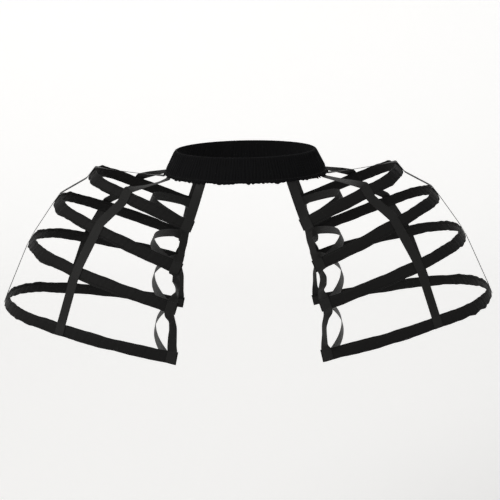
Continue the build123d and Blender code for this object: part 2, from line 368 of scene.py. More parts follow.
class Mesh:
    """Vertices, faces of four corners, their places on the cloth and their finish, gathered part by part."""

    def __init__(self):
        self.points = []
        self.quads = []
        self.places = []
        self.finishes = []
        self.count = 0

    def add(self, points, quads, places, finish):
        """Adds a closed part, turned so that its faces point outwards."""
        corners = points[quads]
        first = np.cross(corners[:, 1] - corners[:, 0], corners[:, 2] - corners[:, 0])
        second = np.cross(corners[:, 2] - corners[:, 0], corners[:, 3] - corners[:, 0])
        if np.sum(corners[:, 0] * (first + second)) < 0:
            quads = quads[:, ::-1]
            places = places[:, ::-1]
        self.points.append(points)
        self.quads.append(quads + self.count)
        self.places.append(places)
        self.finishes.append(np.full(len(quads), finish, np.int32))
        self.count += len(points)

    def piece(self, name, materials):
        """The smooth object of all parts, with its cloth map in metres."""
        mesh = bpy.data.meshes.new(name)
        mesh.from_pydata(np.concatenate(self.points), [], np.concatenate(self.quads))
        cloth = mesh.uv_layers.new(name=CLOTH_MAP)
        cloth.uv.foreach_set("vector", np.concatenate(self.places).astype(np.float32).ravel())
        mesh.polygons.foreach_set("material_index", np.concatenate(self.finishes))
        for material in materials:
            mesh.materials.append(material)
        mesh.shade_smooth()
        mesh.validate()
        return linked(name, mesh)


def linked(name, data):
    """A new object in the scene."""
    holder = bpy.data.objects.new(name, data)
    bpy.context.scene.collection.objects.link(holder)
    return holder


def grid_quads(count, ring, closed, round_ring=True):
    """The faces of a grid of rows of points, where rows and points may join up at their ends."""
    row = np.arange(count if closed else count - 1)[:, None]
    column = np.arange(ring if round_ring else ring - 1)[None, :]
    after = (row + 1) % count
    beside = (column + 1) % ring
    corners = [row * ring + column, row * ring + beside, after * ring + beside, after * ring + column]
    return np.stack(corners, -1).reshape(-1, 4)


def add_tube(mesh, rows, places, closed):
    """Adds a surface of rows of points, each row a closed outline whose first half faces its second.

    Places are the rows' positions on the cloth, with one more point to a row, and one more row where
    the tube is closed, so that a seam keeps its measure. An open tube's ends are sewn flat.
    """
    count, ring = rows.shape[:2]
    quads = [grid_quads(count, ring, closed)]
    near = places[:-1]
    far = places[1:]
    corners = [np.stack([near[:, :-1], near[:, 1:], far[:, 1:], far[:, :-1]], -2).reshape(-1, 4, 2)]
    if not closed:
        face = np.arange(ring // 2 - 1)
        cap = np.stack([face, face + 1, ring - 2 - face, ring - 1 - face], -1)
        quads += [cap[:, ::-1], cap + (count - 1) * ring]
        corners += [places[0][cap[:, ::-1]], places[count - 1][cap]]
    mesh.add(rows.reshape(-1, 3), np.concatenate(quads), np.concatenate(corners), CLOTH_FINISH)


def add_stitches(mesh, places, alongs, lifts, length, thread):
    """Adds a thread stitch at each place: a four-sided spindle, its ends sunk into the cloth.

    At station x from -1 to 1 along it, the spindle's radius is half of the thread * (1 - x^4 / 2) and
    its middle stands half of the thread * (stand - sink * x^2) above the cloth.
    """
    station = np.array(STITCH_STATIONS)[:, None, None]
    turn = (np.arange(STITCH_CORNER_COUNT) * FULL_TURN / STITCH_CORNER_COUNT)[None, :, None]
    radius = thread / 2 * (1 - station**4 / 2)
    stand = thread / 2 * (STITCH_STAND_SHARE - STITCH_SINK_SHARE * station**2)
    across = np.cross(lifts, alongs)[:, None, None, :]
    points = (
        places[:, None, None, :]
        + alongs[:, None, None, :] * station * (length / 2)
        + lifts[:, None, None, :] * (stand + radius * np.cos(turn))
        + across * radius * np.sin(turn)
    )
    size = len(STITCH_STATIONS) * STITCH_CORNER_COUNT
    end = np.arange(STITCH_CORNER_COUNT)
    sides = grid_quads(len(STITCH_STATIONS), STITCH_CORNER_COUNT, False)
    one = np.concatenate([sides, [end[::-1]], [end + size - STITCH_CORNER_COUNT]])
    quads = (np.arange(len(places))[:, None, None] * size + one).reshape(-1, 4)
    cloth = np.zeros((*points.shape[:3], 2))
    cloth[..., 0] = station[..., 0] * (length / 2)
    cloth[..., 1] = turn[..., 0] * (thread / 2)
    mesh.add(points.reshape(-1, 3), quads, cloth.reshape(-1, 2)[quads], THREAD_FINISH)


def both_ways(shares, sign):
    """Shares from the middle to one edge, carried on to the other edge."""
    shares = np.array(shares)
    return np.concatenate([sign * shares[:0:-1], shares])


def there_and_back(face, under):
    """An outline's values: across on its face, and back on its underside."""
    return np.concatenate([face, under[..., ::-1]], -1)


def cloth_places(rows, stations, half):
    """Positions of an open tube's points on the cloth: distance along, and across and on round."""
    across = there_and_back(stations, stations + 2 * np.ptp(stations)) * half
    places = np.zeros((len(rows), rows.shape[1] + 1, 2))
    places[..., 0] = distances_along(rows.mean(1))[:, None]
    places[..., 1] = np.append(across, across[0])
    return places


def dress(piece, nodes):
    """Rides the piece on the cage in the place of its solids."""
    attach(piece, BODY)
    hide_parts(*nodes)


def finish_node(name, material):
    """Gives a solid that stays a finish."""
    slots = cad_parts[name].data.materials
    slots.clear()
    slots.append(material)


# Materials

# How slubs are drawn out along the threads, and the shares in the weave's shade of its height, which paints
# shade into the hollows between threads, and of its slubs
SLUB_STRETCH = (40, 900, 1)
SLUB_DETAIL = 2.0
HOLLOW_PAINTED_SHADE_SHARE = 0.4
SLUB_SHADE_SHARE = 0.6

# Noise of the blotches of wear and painted sheen, and of the creases
WEAR_AND_SHEEN_SCALE = 18.0
WEAR_AND_SHEEN_DETAIL = 4.0
CREASE_SCALE = 240.0
CREASE_DETAIL = 3.0
CREASE_DISTORTION = 0.6

# How the weave, with its painted shade in the hollows between threads, and the blotches of wear and painted
# sheen tell in a cloth
WEAVE_TINT_SHARE = 0.5
WEAR_AND_SHEEN_TINT_SHARE = 0.5
ROUGHNESS_SPREAD = 0.24
CREASE_HEIGHT = 1.2
BUMP_STRENGTH = 0.55

# Threads per metre along and across, and how many squares a thread floats
Weave = namedtuple("Weave", "warp weft over")

# Principled values, the weave's depth in metres, and the share by which the blotches of wear and painted
# sheen change the colour
Finish = namedtuple("Finish", "roughness sheen sheen_roughness specular depth wear")


def add_node(tree, kind, values=None, **settings):
    """Adds a node, sets its settings, and sets or links its inputs by name or number."""
    node = tree.nodes.new(kind)
    for name, value in settings.items():
        setattr(node, name, value)
    for key, value in (values or {}).items():
        if isinstance(value, bpy.types.NodeSocket):
            tree.links.new(value, node.inputs[key])
        else:
            node.inputs[key].default_value = value
    return node


def maths(tree, operation, first, second=0.0, third=0.0):
    """The result of one sum."""
    return add_node(tree, "ShaderNodeMath", {0: first, 1: second, 2: third}, operation=operation).outputs[0]


def noise(tree, place, scale, detail, distortion=0.0):
    """Soft noise from 0 to 1."""
    values = {"Vector": place, "Scale": scale, "Detail": detail, "Distortion": distortion}
    return add_node(tree, "ShaderNodeTexNoise", values).outputs[0]


def new_group(name, inputs, outputs):
    """An empty shader node group with named sockets."""
    group = bpy.data.node_groups.new(name, "ShaderNodeTree")
    for label, kind, default in inputs:
        socket = group.interface.new_socket(label, in_out="INPUT", socket_type=kind)
        if default is not None:
            socket.default_value = default
    for label in outputs:
        group.interface.new_socket(label, in_out="OUTPUT", socket_type="NodeSocketFloat")
    return group, group.nodes.new("NodeGroupInput").outputs, group.nodes.new("NodeGroupOutput").inputs


def thread_round(tree, thread):
    """|sin(pi * thread)|, the round of each thread."""
    return maths(tree, "ABSOLUTE", maths(tree, "SINE", maths(tree, "MULTIPLY", thread, math.pi)))


def weave_group():
    """Threads over and under each other: the height of the thread on top, which changes at every square.

    The shade is a mix of that height, which paints shade into the hollows between threads, and slubs, the
    yarn's own tone, from noise that is drawn out along the threads.
    """
    group, given, result = new_group(
        "Weave",
        [("Place", "NodeSocketVector", None), ("Warp", "NodeSocketFloat", 2600.0),
         ("Weft", "NodeSocketFloat", 2600.0), ("Over", "NodeSocketFloat", 2.0)],
        ["Height", "Shade"],
    )
    place = add_node(group, "ShaderNodeSeparateXYZ", {0: given["Place"]}).outputs
    warp = maths(group, "MULTIPLY", place[1], given["Warp"])
    weft = maths(group, "MULTIPLY", place[0], given["Weft"])
    square = maths(group, "ADD", maths(group, "FLOOR", warp), maths(group, "FLOOR", weft))
    on_top = maths(group, "LESS_THAN", maths(group, "FLOORED_MODULO", square, given["Over"]), 0.5)
    rounds = {"Factor": on_top, 2: thread_round(group, weft), 3: thread_round(group, warp)}
    height = add_node(group, "ShaderNodeMix", rounds, data_type="FLOAT").outputs[0]
    stretch = {0: given["Place"], 1: SLUB_STRETCH}
    drawn = add_node(group, "ShaderNodeVectorMath", stretch, operation="MULTIPLY").outputs[0]
    slub = noise(group, drawn, 1.0, SLUB_DETAIL)
    slub_shade = maths(group, "MULTIPLY", slub, SLUB_SHADE_SHARE)
    # Painted shade: the hollows between threads come out darker and the crests lighter, mixed with the slubs'
    # own tone
    shade = maths(group, "MULTIPLY_ADD", height, HOLLOW_PAINTED_SHADE_SHARE, slub_shade)
    group.links.new(height, result["Height"])
    group.links.new(shade, result["Shade"])
    return group


def handling_and_sheen_group():
    """Soft blotches of wear and painted sheen, and fine creases, from noise in the object's own space."""
    group, given, result = new_group(
        "Handling",
        [("Place", "NodeSocketVector", None), ("Blotch", "NodeSocketFloat", WEAR_AND_SHEEN_SCALE),
         ("Crease", "NodeSocketFloat", CREASE_SCALE)],
        ["Wear", "Crease"],
    )
    # Painted sheen: random blotches, partly wear, stand in for the mottled sheen and wrinkle shading of the
    # cloth
    wear = noise(group, given["Place"], given["Blotch"], WEAR_AND_SHEEN_DETAIL)
    crease = noise(group, given["Place"], given["Crease"], CREASE_DETAIL, CREASE_DISTORTION)
    group.links.new(wear, result["Wear"])
    group.links.new(crease, result["Crease"])
    return group


def place_group(tree, name, build, values):
    """Places a shared node group in a material, built the first time, and gives its outputs."""
    group = bpy.data.node_groups.get(name) or build()
    return add_node(tree, "ShaderNodeGroup", values, node_tree=group).outputs


def cloth_material(name, colour, weave, finish, mapped=True):
    """A woven finish: its weave follows the cloth's own map, or the object's space, as its blotches of wear
    and painted sheen do.
    """
    found = bpy.data.materials.get(name)
    if found:
        return found
    material = bpy.data.materials.new(name)
    material.use_nodes = True
    tree = material.node_tree
    shader = tree.nodes["Principled BSDF"].inputs
    place = add_node(tree, "ShaderNodeTexCoord").outputs["Object"]
    cloth = add_node(tree, "ShaderNodeUVMap", uv_map=CLOTH_MAP).outputs[0] if mapped else place
    threads = place_group(
        tree, "Weave", weave_group,
        {"Place": cloth, "Warp": weave.warp, "Weft": weave.weft, "Over": weave.over},
    )
    handling_and_sheen = place_group(tree, "Handling", handling_and_sheen_group, {"Place": place})
    # Painted shade and sheen: the weave's darker hollows and the blotches of wear and painted sheen set the
    # colour between dark and light
    wear_and_sheen_tint = maths(tree, "MULTIPLY", handling_and_sheen["Wear"], WEAR_AND_SHEEN_TINT_SHARE)
    shade = maths(tree, "MULTIPLY_ADD", threads["Shade"], WEAVE_TINT_SHARE, wear_and_sheen_tint)
    dark = [channel * (1 - finish.wear) for channel in colour] + [1]
    light = [channel * (1 + finish.wear) for channel in colour] + [1]
    tint = add_node(tree, "ShaderNodeMix", {"Factor": shade, 6: dark, 7: light}, data_type="RGBA").outputs[2]
    least_rough = finish.roughness - ROUGHNESS_SPREAD / 2
    rough = maths(tree, "MULTIPLY_ADD", handling_and_sheen["Wear"], ROUGHNESS_SPREAD, least_rough)
    height = maths(tree, "MULTIPLY_ADD", handling_and_sheen["Crease"], CREASE_HEIGHT, threads["Height"])
    bump = add_node(
        tree, "ShaderNodeBump", {"Strength": BUMP_STRENGTH, "Distance": finish.depth, "Height": height}
    ).outputs[0]
    tree.links.new(tint, shader["Base Color"])
    tree.links.new(rough, shader["Roughness"])
    tree.links.new(bump, shader["Normal"])
    shader["Specular IOR Level"].default_value = finish.specular
    shader["Sheen Weight"].default_value = finish.sheen
    shader["Sheen Roughness"].default_value = finish.sheen_roughness
    return material


def waistband_cloth(colours):
    """Matte black cotton."""
    finish = Finish(roughness=0.84, sheen=0.010, sheen_roughness=0.5, specular=0.03, depth=0.00012, wear=0.35)
    return cloth_material("gathered_cotton", colours.waistband, Weave(2600, 2600, 2), finish)


def sleeve_cloth(colours):
    """Black lining cloth with a soft sheen."""
    finish = Finish(roughness=0.52, sheen=0.012, sheen_roughness=0.4, specular=0.05, depth=0.0001, wear=0.40)
    return cloth_material("sleeve_lining", colours.sleeve, Weave(3000, 2400, 3), finish)


def tape_cloth(colours):
    """Black satin ribbon, ribbed across."""
    finish = Finish(roughness=0.48, sheen=0.015, sheen_roughness=0.35, specular=0.07, depth=0.0001, wear=0.30)
    return cloth_material("ribbon_satin", colours.tape, Weave(1500, 2800, 4), finish)


def thread_cloth(colours):
    """Twisted sewing thread."""
    finish = Finish(roughness=0.55, sheen=0.012, sheen_roughness=0.4, specular=0.15, depth=0.00006, wear=0.20)
    return cloth_material("sewing_thread", colours.thread, Weave(5200, 2600, 2), finish)


def elastic_cloth(colours):
    """Ribbed elastic."""
    finish = Finish(roughness=0.80, sheen=0.02, sheen_roughness=0.5, specular=0.10, depth=0.00015, wear=0.25)
    return cloth_material("ribbed_elastic", colours.elastic, Weave(900, 2200, 2), finish, mapped=False)


def bone_plastic(colours):
    """Matte springy plastic."""
    finish = Finish(roughness=0.55, sheen=0.0, sheen_roughness=0.5, specular=0.45, depth=0.00002, wear=0.06)
    return cloth_material("springy_plastic", colours.bone, Weave(400, 400, 2), finish, mapped=False)


# Waistband

# Steps round the band, and along its strip up the outside, over the fold and down the inside
TURN_COUNT = 1200
STRIP_COUNTS = (15, 5, 11)

# The gathers: how many fewer there are at the hem and inside, the heights between which they change over,
# and each set's seed. They drift and swell round the band by sines, as (share of the girth, radians).
HEM_GATHERS_FEWER = 23
INNER_GATHERS_FEWER = 9
GATHER_CHANGE_SHARES = (0.25, 0.95)
TOP_GATHER_SEED = 11
HEM_GATHER_SEED = 12
GATHER_DRIFTS = ((1 / 3, 1.3), (1 / 7, 0.9), (1 / 11, 0.8), (1 / 19, 0.7), (1 / 31, 0.6))
GATHER_SWAY = 0.5
GATHER_SWAY_COUNT = 13
GATHER_SWAY_SLANT = 0.8
GATHER_STRENGTH = 0.78
GATHER_SWELL = 0.22
SWELL_COUNT_SHARE = 0.37
VALLEY_ROUNDING = 0.01

# The scallops: sines of their drift, size and sag round the hem, as (share of the girth, height), and a seed
SCALLOP_DRIFTS = (((1 / 5, 1.1), (1 / 13, 0.9), (1 / 23, 0.5)), 5)
SCALLOP_SIZES = (((1 / 6, 0.6), (1 / 17, 0.7), (1 / 29, 0.7)), 6)
HEM_SAGS = (((1 / 4, 0.5), (1 / 9, 0.5), (1 / 15, 0.4)), 7)
SCALLOP_SIZE = 0.6
SCALLOP_SIZE_SPREAD = 0.4
SCALLOP_SIZE_LIMITS = (0.1, 1.3)
HEM_SAG_SHARE = 0.5
HEM_RISE_SHARE = 0.4
FRILL_MIDDLE_SHARE = 0.5

# How the gathers flatten: at the seam and just above it, at the fold, and how they open at the frill
SEAM_SPREAD = 0.6
SEAM_FLATTENING = 0.75
SEAM_REACH = 1.6
NARROW_FLATTENING = 0.6
FRILL_OPENING = 0.9
FOLD_START_SHARE = 0.9
FOLD_FLATTENING = 0.45
FOLD_RIPPLE = 0.0003
FOLD_RIPPLE_START_SHARE = 0.93

# Distance of the seam's stitches from the line midway between the plies
BAND_STITCH_RISE = 0.0018


def gathers(turn, share, settings, fewer):
    """Folds round the band, from -1 to 1, as 2 |cos(phase / 2)| - 1: rounded crests and narrow valleys.

    The phase runs as many times round as there are gathers, and drifts by slow sines. The hem has fewer
    gathers than the top, and the two sets fade into each other up the band, so that folds join and part.
    """
    at_top = smooth(*GATHER_CHANGE_SHARES, share)
    count = settings.gather_count - fewer
    sway = GATHER_SWAY * np.sin(FULL_TURN * (GATHER_SWAY_COUNT * turn + GATHER_SWAY_SLANT * share))
    total = np.zeros(np.broadcast(turn, share).shape)
    for folds, seed, weight in (
        (count, TOP_GATHER_SEED, at_top),
        (count - HEM_GATHERS_FEWER, HEM_GATHER_SEED, 1 - at_top),
    ):
        phase = FULL_TURN * folds * turn + ripple(turn, GATHER_DRIFTS, seed) + sway
        swells = math.floor(SWELL_COUNT_SHARE * folds)
        strength = GATHER_STRENGTH + GATHER_SWELL * np.sin(FULL_TURN * swells * turn + seed)
        total = total + weight * strength * (2 * np.sqrt(np.cos(phase / 2) ** 2 + VALLEY_ROUNDING) - 1)
    return total


def hem_scallops(settings, turn):
    """The scallops' standing out, as size * |sin|, and how far the hem sags, round the band."""
    drift = ripple(turn, *SCALLOP_DRIFTS)
    size = SCALLOP_SIZE + SCALLOP_SIZE_SPREAD * ripple(turn, *SCALLOP_SIZES)
    waves = np.abs(np.sin(math.pi * settings.scallop_count * turn + drift))
    sag = HEM_SAG_SHARE * ripple(turn, *HEM_SAGS)
    return np.clip(size, *SCALLOP_SIZE_LIMITS) * waves, sag


def waistband_rows(waist, settings, turns):
    """The band's strip, folded over at the top: outlines of (offset, height) at each turn.

    Along the strip, from the outer hem up, over and down to the inner hem, the middle of the cloth lies
    at its ply's distance from the ring, drawn in at the seam, flared below it and pushed by the gathers;
    the outline is that line half a ply to either side.
    """
    top = settings.height / 2
    hem = -settings.height / 2
    fold = (settings.outer_rise + settings.inner_rise) / 2
    up, over, down = STRIP_COUNTS
    arc = np.linspace(0, math.pi, over + 2)[1:-1]
    heights = np.concatenate([
        np.linspace(hem, top - fold, up),
        top - fold + fold * np.sin(arc),
        np.linspace(top - fold, hem, down),
    ])
    side = np.concatenate([np.ones(up), np.cos(arc), -np.ones(down)])
    share = (heights - hem) / settings.height
    from_seam = (heights - hem - settings.seam_height) / settings.seam_height
    drawn = bell(from_seam, SEAM_SPREAD)
    flare = smooth(0, -1, from_seam)
    narrow = smooth(SEAM_REACH, 0, from_seam)
    rise = np.where(side > 0, settings.outer_rise, settings.inner_rise)
    rest = rise - narrow * (rise - settings.seam_rise) + flare * settings.flare
    turn = turns[:, None]
    outer = gathers(turn, share[None, :], settings, 0)
    inner = gathers(turn, share[None, :], settings, INNER_GATHERS_FEWER)
    folds = np.where(side > 0, outer, inner)
    scallops, sag = hem_scallops(settings, turn)
    gather = np.where(side > 0, settings.outer_gather, settings.inner_gather)
    at_fold = smooth(FOLD_START_SHARE, 1, share)
    depth = gather * (1 - SEAM_FLATTENING * drawn) * (1 - FOLD_FLATTENING * at_fold)
    depth = depth * (1 - NARROW_FLATTENING * narrow + FRILL_OPENING * flare)
    offset = side * (rest + depth * folds + flare * settings.frill * (scallops - FRILL_MIDDLE_SHARE))
    height = heights + flare * settings.scallop * (HEM_RISE_SHARE - scallops - sag)
    height = height + FOLD_RIPPLE * folds * smooth(FOLD_RIPPLE_START_SHARE, 1, share)
    slope_offset = np.gradient(offset, axis=1)
    slope_height = np.gradient(height, axis=1)
    steep = np.hypot(slope_offset, slope_height)
    out_offset = settings.ply / 2 * slope_height / steep
    out_height = -settings.ply / 2 * slope_offset / steep
    all_offset = there_and_back(offset + out_offset, offset - out_offset)
    all_height = there_and_back(height + out_height, height - out_height)
    rows = waist.point(np.broadcast_to(turn, all_offset.shape), all_height, all_offset)
    strip = np.concatenate([[0], np.cumsum(steep.mean(0)[1:])])
    return rows, there_and_back(strip, strip)


def band_stitches(mesh, waist, settings, sewing):
    """The seam round the band, over its hem."""
    count = round(waist.girth / sewing.pitch)
    turns = (np.arange(count) + 0.5) / count
    heights = np.full(count, settings.seam_height - settings.height / 2)
    seam = waist.point(turns, heights, np.full(count, BAND_STITCH_RISE))
    along = waist.tangent(turns)
    add_stitches(mesh, seam, along, np.cross(along, [0, 0, 1]), sewing.band_stitch, sewing.thread)


class CAGE_OT_waistband(bpy.types.Operator):
    """Make the gathered waistband casing and dress the elastic inside it"""

    bl_idname = "cage.waistband"
    bl_label = "Waistband"

    def execute(self, context):
        settings = context.scene.cage_waist
        colours = context.scene.cage_colours
        waist = Waist(settings)
        turns = np.arange(TURN_COUNT + 1) / TURN_COUNT
        rows, strip = waistband_rows(waist, settings, turns[:-1])
        places = np.zeros((len(turns), rows.shape[1] + 1, 2))
        places[..., 0] = (turns * waist.girth)[:, None]
        places[..., 1] = np.append(strip, strip[0])
        mesh = Mesh()
        add_tube(mesh, rows, places, closed=True)
        band_stitches(mesh, waist, settings, context.scene.cage_sewing)
        piece = mesh.piece("waistband", [waistband_cloth(colours), thread_cloth(colours)])
        dress(piece, ["waistband_casing"])
        finish_node("waist_elastic", elastic_cloth(colours))
        return {"FINISHED"}


# Hoop sleeves

# Steps along a sleeve, and stations across half of its width in elevenths
SLEEVE_STEP = 0.0018
SLEEVE_STATIONS = (0, 3, 5.4, 6.3, 7.0, 7.6, 8.0, 8.3, 8.6, 9.1, 9.8, 10.4, 10.8, 11.0)

# Section: the width beside the bone over which a sleeve falls off, the distances from its ends between which
# the bone comes to fill it, the groove's half width, the depth and radius of the rounded edges, the least
# rise of a puckered face and what the bone adds to it, how deep the stitches sink, and how many are left out
# at each end of a seam
BONE_EDGE = 0.0016
BONE_STARTS = (0.003, 0.008)
GROOVE_HALF = 0.0005
EDGE_ROUND = 0.0010
EDGE_RADIUS = 0.00103
LEAST_RISE = 0.0003
LEAST_BONE_RISE = 0.0006
SEAM_STITCH_SINK = 0.0002
END_STITCH_COUNT = 1

# Puckers: sines as (length, height), their shares on the face, beside a seam and on it, their distance inside
# the seam and its spread, the share that they grow by round the crown, and their slant on either face
PUCKERS = ((0.0063, 0.5), (0.0091, 0.6), (0.0137, 0.6), (0.0210, 0.5))
FACE_PUCKER_SHARE = 0.45
SEAM_PUCKER_SHARE = 0.9
STITCHED_PUCKER_SHARE = 0.35
PUCKER_INSIDE = 0.00225
PUCKER_SPREAD = 0.0015
CROWN_PUCKER_SHARE = 0.5
PUCKER_END = 0.004
FACE_SLANT = 0.35
UNDER_SLANT = -0.30

# Slack of the edges, as sines of (length, height). The crown's slack spreads over a share of the hoop's
# length, and the side tape holds it down over its own width.
EDGE_WANDERS = ((0.019, 0.16), (0.047, 0.45), (0.083, 0.7), (0.190, 0.8))
EDGE_RUCHES = ((0.0117, 0.35), (0.0173, 0.5), (0.0291, 0.6))
EDGE_BILLOWS = ((0.0131, 0.4), (0.0223, 0.7), (0.0410, 0.7))
CROWN_SHARE = 0.17
HELD_HALF = 0.016
KINK_SOFTNESS = 0.012
KINK_REACH = 1.11
EDGE_SEED_STEP = 5
SIDE_SEED_STEP = 100
HOOP_SEED_STEP = 10

# Kinks of the sleeves' cloth: share of the length from the front end, edge, height and half of the length
SLEEVE_KINKS = {
    ("right", 1): ((0.368, -1, 0.0012, 0.012), (0.582, 1, 0.0012, 0.015)),
    ("right", 2): ((0.416, -1, 0.0014, 0.011), (0.455, -1, 0.0022, 0.012), (0.545, 1, 0.0018, 0.013)),
    ("right", 3): ((0.373, -1, -0.0010, 0.009), (0.427, -1, 0.0024, 0.014), (0.585, 1, 0.0012, 0.012)),
    ("right", 4): ((0.331, -1, 0.0012, 0.014), (0.368, -1, 0.0026, 0.013), (0.407, -1, 0.0018, 0.012),
                   (0.582, 1, 0.0010, 0.011), (0.624, 1, 0.0018, 0.014)),
    ("left", 1): ((0.420, -1, 0.0012, 0.012), (0.565, 1, 0.0032, 0.022)),
    ("left", 2): ((0.423, -1, 0.0030, 0.017), (0.580, 1, 0.0015, 0.016)),
    ("left", 3): ((0.374, -1, 0.0038, 0.026), (0.540, 1, 0.0014, 0.012)),
    ("left", 4): ((0.352, -1, 0.0012, 0.013), (0.545, 1, 0.0010, 0.012), (0.635, 1, 0.0015, 0.015)),
}


def edge_slack(hoop, settings, along, seed, kinks):
    """How far a sleeve's top and bottom edges stand upwards and outwards from straight, along its hoop.

    Both wander by long sines. Round the crown, weighted by a bell, they ruche and billow by short ones,
    though they don't billow under the side tape. They kink where the cloth folds, each kink a tent of
    height * (1 - |distance| / half its length) with a soft peak.
    """
    seed = seed + EDGE_SEED_STEP
    from_crown = along - hoop.length / 2
    at_crown = bell(from_crown / hoop.length, CROWN_SHARE)
    free = at_crown * (1 - bell(from_crown, HELD_HALF))
    slack = []
    for edge in (1, -1):
        upwards = settings.wander * ripple(along, EDGE_WANDERS, seed - edge)
        upwards = upwards + settings.ruche * at_crown * ripple(along, EDGE_RUCHES, seed + 2 * edge)
        for share, kinked, height, half in kinks:
            away = np.sqrt(((along - share * hoop.length) / half) ** 2 + KINK_SOFTNESS)
            upwards = upwards + (kinked == edge) * height * np.clip(KINK_REACH - away, 0, None)
        outwards = settings.billow * free * ripple(along, EDGE_BILLOWS, seed + 3 * edge)
        slack.append((edge * upwards, outwards))
    return slack


def pucker_heights(hoop, settings, along, to_end, out):
    """The height of the puckers' sines: greatest beside the seams, none at the ends, more round the crown."""
    from_seam = out - settings.seam
    share = FACE_PUCKER_SHARE + SEAM_PUCKER_SHARE * bell(from_seam + PUCKER_INSIDE, PUCKER_SPREAD)
    share = share - STITCHED_PUCKER_SHARE * bell(from_seam, GROOVE_HALF)
    crown = 1 + CROWN_PUCKER_SHARE * bell(along / hoop.length - 0.5, CROWN_SHARE)
    return settings.pucker * share * smooth(0, PUCKER_END, to_end) * crown


def sleeve_rows(hoop, settings, seed, kinks):
    """A sleeve's outlines along its hoop: across a share of half of its width, and up by half of its rise.

    Over the bone the rise is bone_rise, beyond it edge_rise, less a groove at the seams, and it rounds off
    at the edges as sqrt(1 - t^2). The last few millimetres are flat. Faces pucker by sines, and edges stand
    out by edge_slack, which fades with the square of the share of half of the width.
    """
    half = settings.width / 2
    stations = both_ways(SLEEVE_STATIONS, -1) / SLEEVE_STATIONS[-1]
    out = np.abs(stations) * half
    distances = np.linspace(0, hoop.length, round(hoop.length / SLEEVE_STEP) + 1)
    along = distances[:, None]
    to_end = np.minimum(along, hoop.length - along)
    beside_bone = smooth(settings.bone_half, settings.bone_half + BONE_EDGE, out)
    over_bone = (1 - beside_bone) * smooth(*BONE_STARTS, to_end)
    groove = settings.groove * bell(out - settings.seam, GROOVE_HALF)
    into_edge = np.clip(out - half + EDGE_ROUND, 0, None) / EDGE_RADIUS
    rounding = np.sqrt(np.clip(1 - into_edge**2, 0, 1))
    rise = (settings.edge_rise - groove + (settings.bone_rise - settings.edge_rise) * over_bone) * rounding
    loose = pucker_heights(hoop, settings, along, to_end, out)
    least = LEAST_RISE + LEAST_BONE_RISE * over_bone
    faces = []
    for step, slant in enumerate((FACE_SLANT, UNDER_SLANT)):
        puckers = ripple(along + slant * stations * half, PUCKERS, seed + step)
        faces.append(rounding * np.maximum(rise + loose * puckers, least))
    face, under = faces
    (top, top_out), (bottom, bottom_out) = edge_slack(hoop, settings, along, seed, kinks)
    fade = (out / half) ** 2
    across = stations * half + np.where(stations > 0, top, bottom) * fade
    middle = np.where(stations > 0, top_out, bottom_out) * fade
    centre, __, outward, upward = (part[:, None, :] for part in hoop.frames(hoop.angles(distances)))
    all_across = there_and_back(across, across)[..., None]
    all_rise = there_and_back(middle + face, middle - under)[..., None]
    rows = centre + upward * all_across + outward * all_rise
    return rows, cloth_places(rows, stations, half)


def seam_stitches(mesh, hoop, settings, sewing, seed, kinks, to_place):
    """Two seams on each face of a sleeve, which follow its edges and stop short of its ends."""
    count = round(hoop.length / sewing.pitch) - 2 * END_STITCH_COUNT
    distances = (np.arange(count) + END_STITCH_COUNT + 0.5) * sewing.pitch
    centre, along, outward, upward = hoop.frames(hoop.angles(distances))
    fade = (settings.seam / settings.width * 2) ** 2
    slack = edge_slack(hoop, settings, distances, seed, kinks)
    for across, (upwards, outwards) in zip((settings.seam, -settings.seam), slack):
        line = centre + upward * (across + upwards * fade)[:, None] + outward * (outwards * fade)[:, None]
        for face in (outward, -outward):
            places = line + face * (settings.edge_rise - SEAM_STITCH_SINK)
            vectors = (part * to_place for part in (places, along, face))
            add_stitches(mesh, *vectors, sewing.sleeve_stitch, sewing.thread)


class CAGE_OT_sleeves(bpy.types.Operator):
    """Make the sewn sleeves of the hoops and dress the bones inside them"""

    bl_idname = "cage.sleeves"
    bl_label = "Hoop sleeves"

    def execute(self, context):
        settings = context.scene.cage_hoops
        colours = context.scene.cage_colours
        materials = [sleeve_cloth(colours), thread_cloth(colours)]
        for side_number, (side_name, side) in enumerate(SIDES.items()):
            to_place = np.array([side, 1, 1])
            for number in HOOP_NUMBERS:
                hoop = Hoop(settings, number)
                seed = SIDE_SEED_STEP * side_number + HOOP_SEED_STEP * number
                kinks = SLEEVE_KINKS[side_name, number]
                rows, places = sleeve_rows(hoop, settings, seed, kinks)
                mesh = Mesh()
                add_tube(mesh, rows * to_place, places, closed=False)
                seam_stitches(mesh, hoop, settings, context.scene.cage_sewing, seed, kinks, to_place)
                piece = mesh.piece(f"{side_name}_hoop_sleeve_{number}", materials)
                dress(piece, [f"{side_name}_sleeve_{number}"])
                finish_node(f"{side_name}_bone_{number}", bone_plastic(colours))
        return {"FINISHED"}


# Ribbons

# Steps along the tapes and the stays, points that their lines are worked out at before they are spaced, and
# how many times a stay's joins are smoothed
TAPE_STEP = 0.0018
STAY_STEP = 0.0025
STRETCH_COUNT = 59
STAY_BOW_COUNT = 81
STAY_TAB_COUNT = 11
STAY_SMOOTHING_COUNT = 6

# Section: stations across half of a ribbon's width, and its rise there as a share of half of its thickness
RIBBON_STATION_SHARES = (0, 0.3, 0.6, 0.86, 0.94, 0.985, 1)
RIBBON_RISE_SHARES = (0.85, 0.85, 0.85, 0.9, 1.0, 0.8, 0.3)

# Bend of a tape: share of a short stretch, radius across it where it leaves the waistband, and for how long
EASE_SHARE = 0.5
CUP_RADIUS = 0.09
CUP_LENGTH = 0.012

# Stitches across a ribbon: places as shares of half of its width, and height as a share of its thickness
ROW_SHARES = (-0.66, -0.22, 0.22, 0.66)
ROW_RISE_SHARE = 0.42

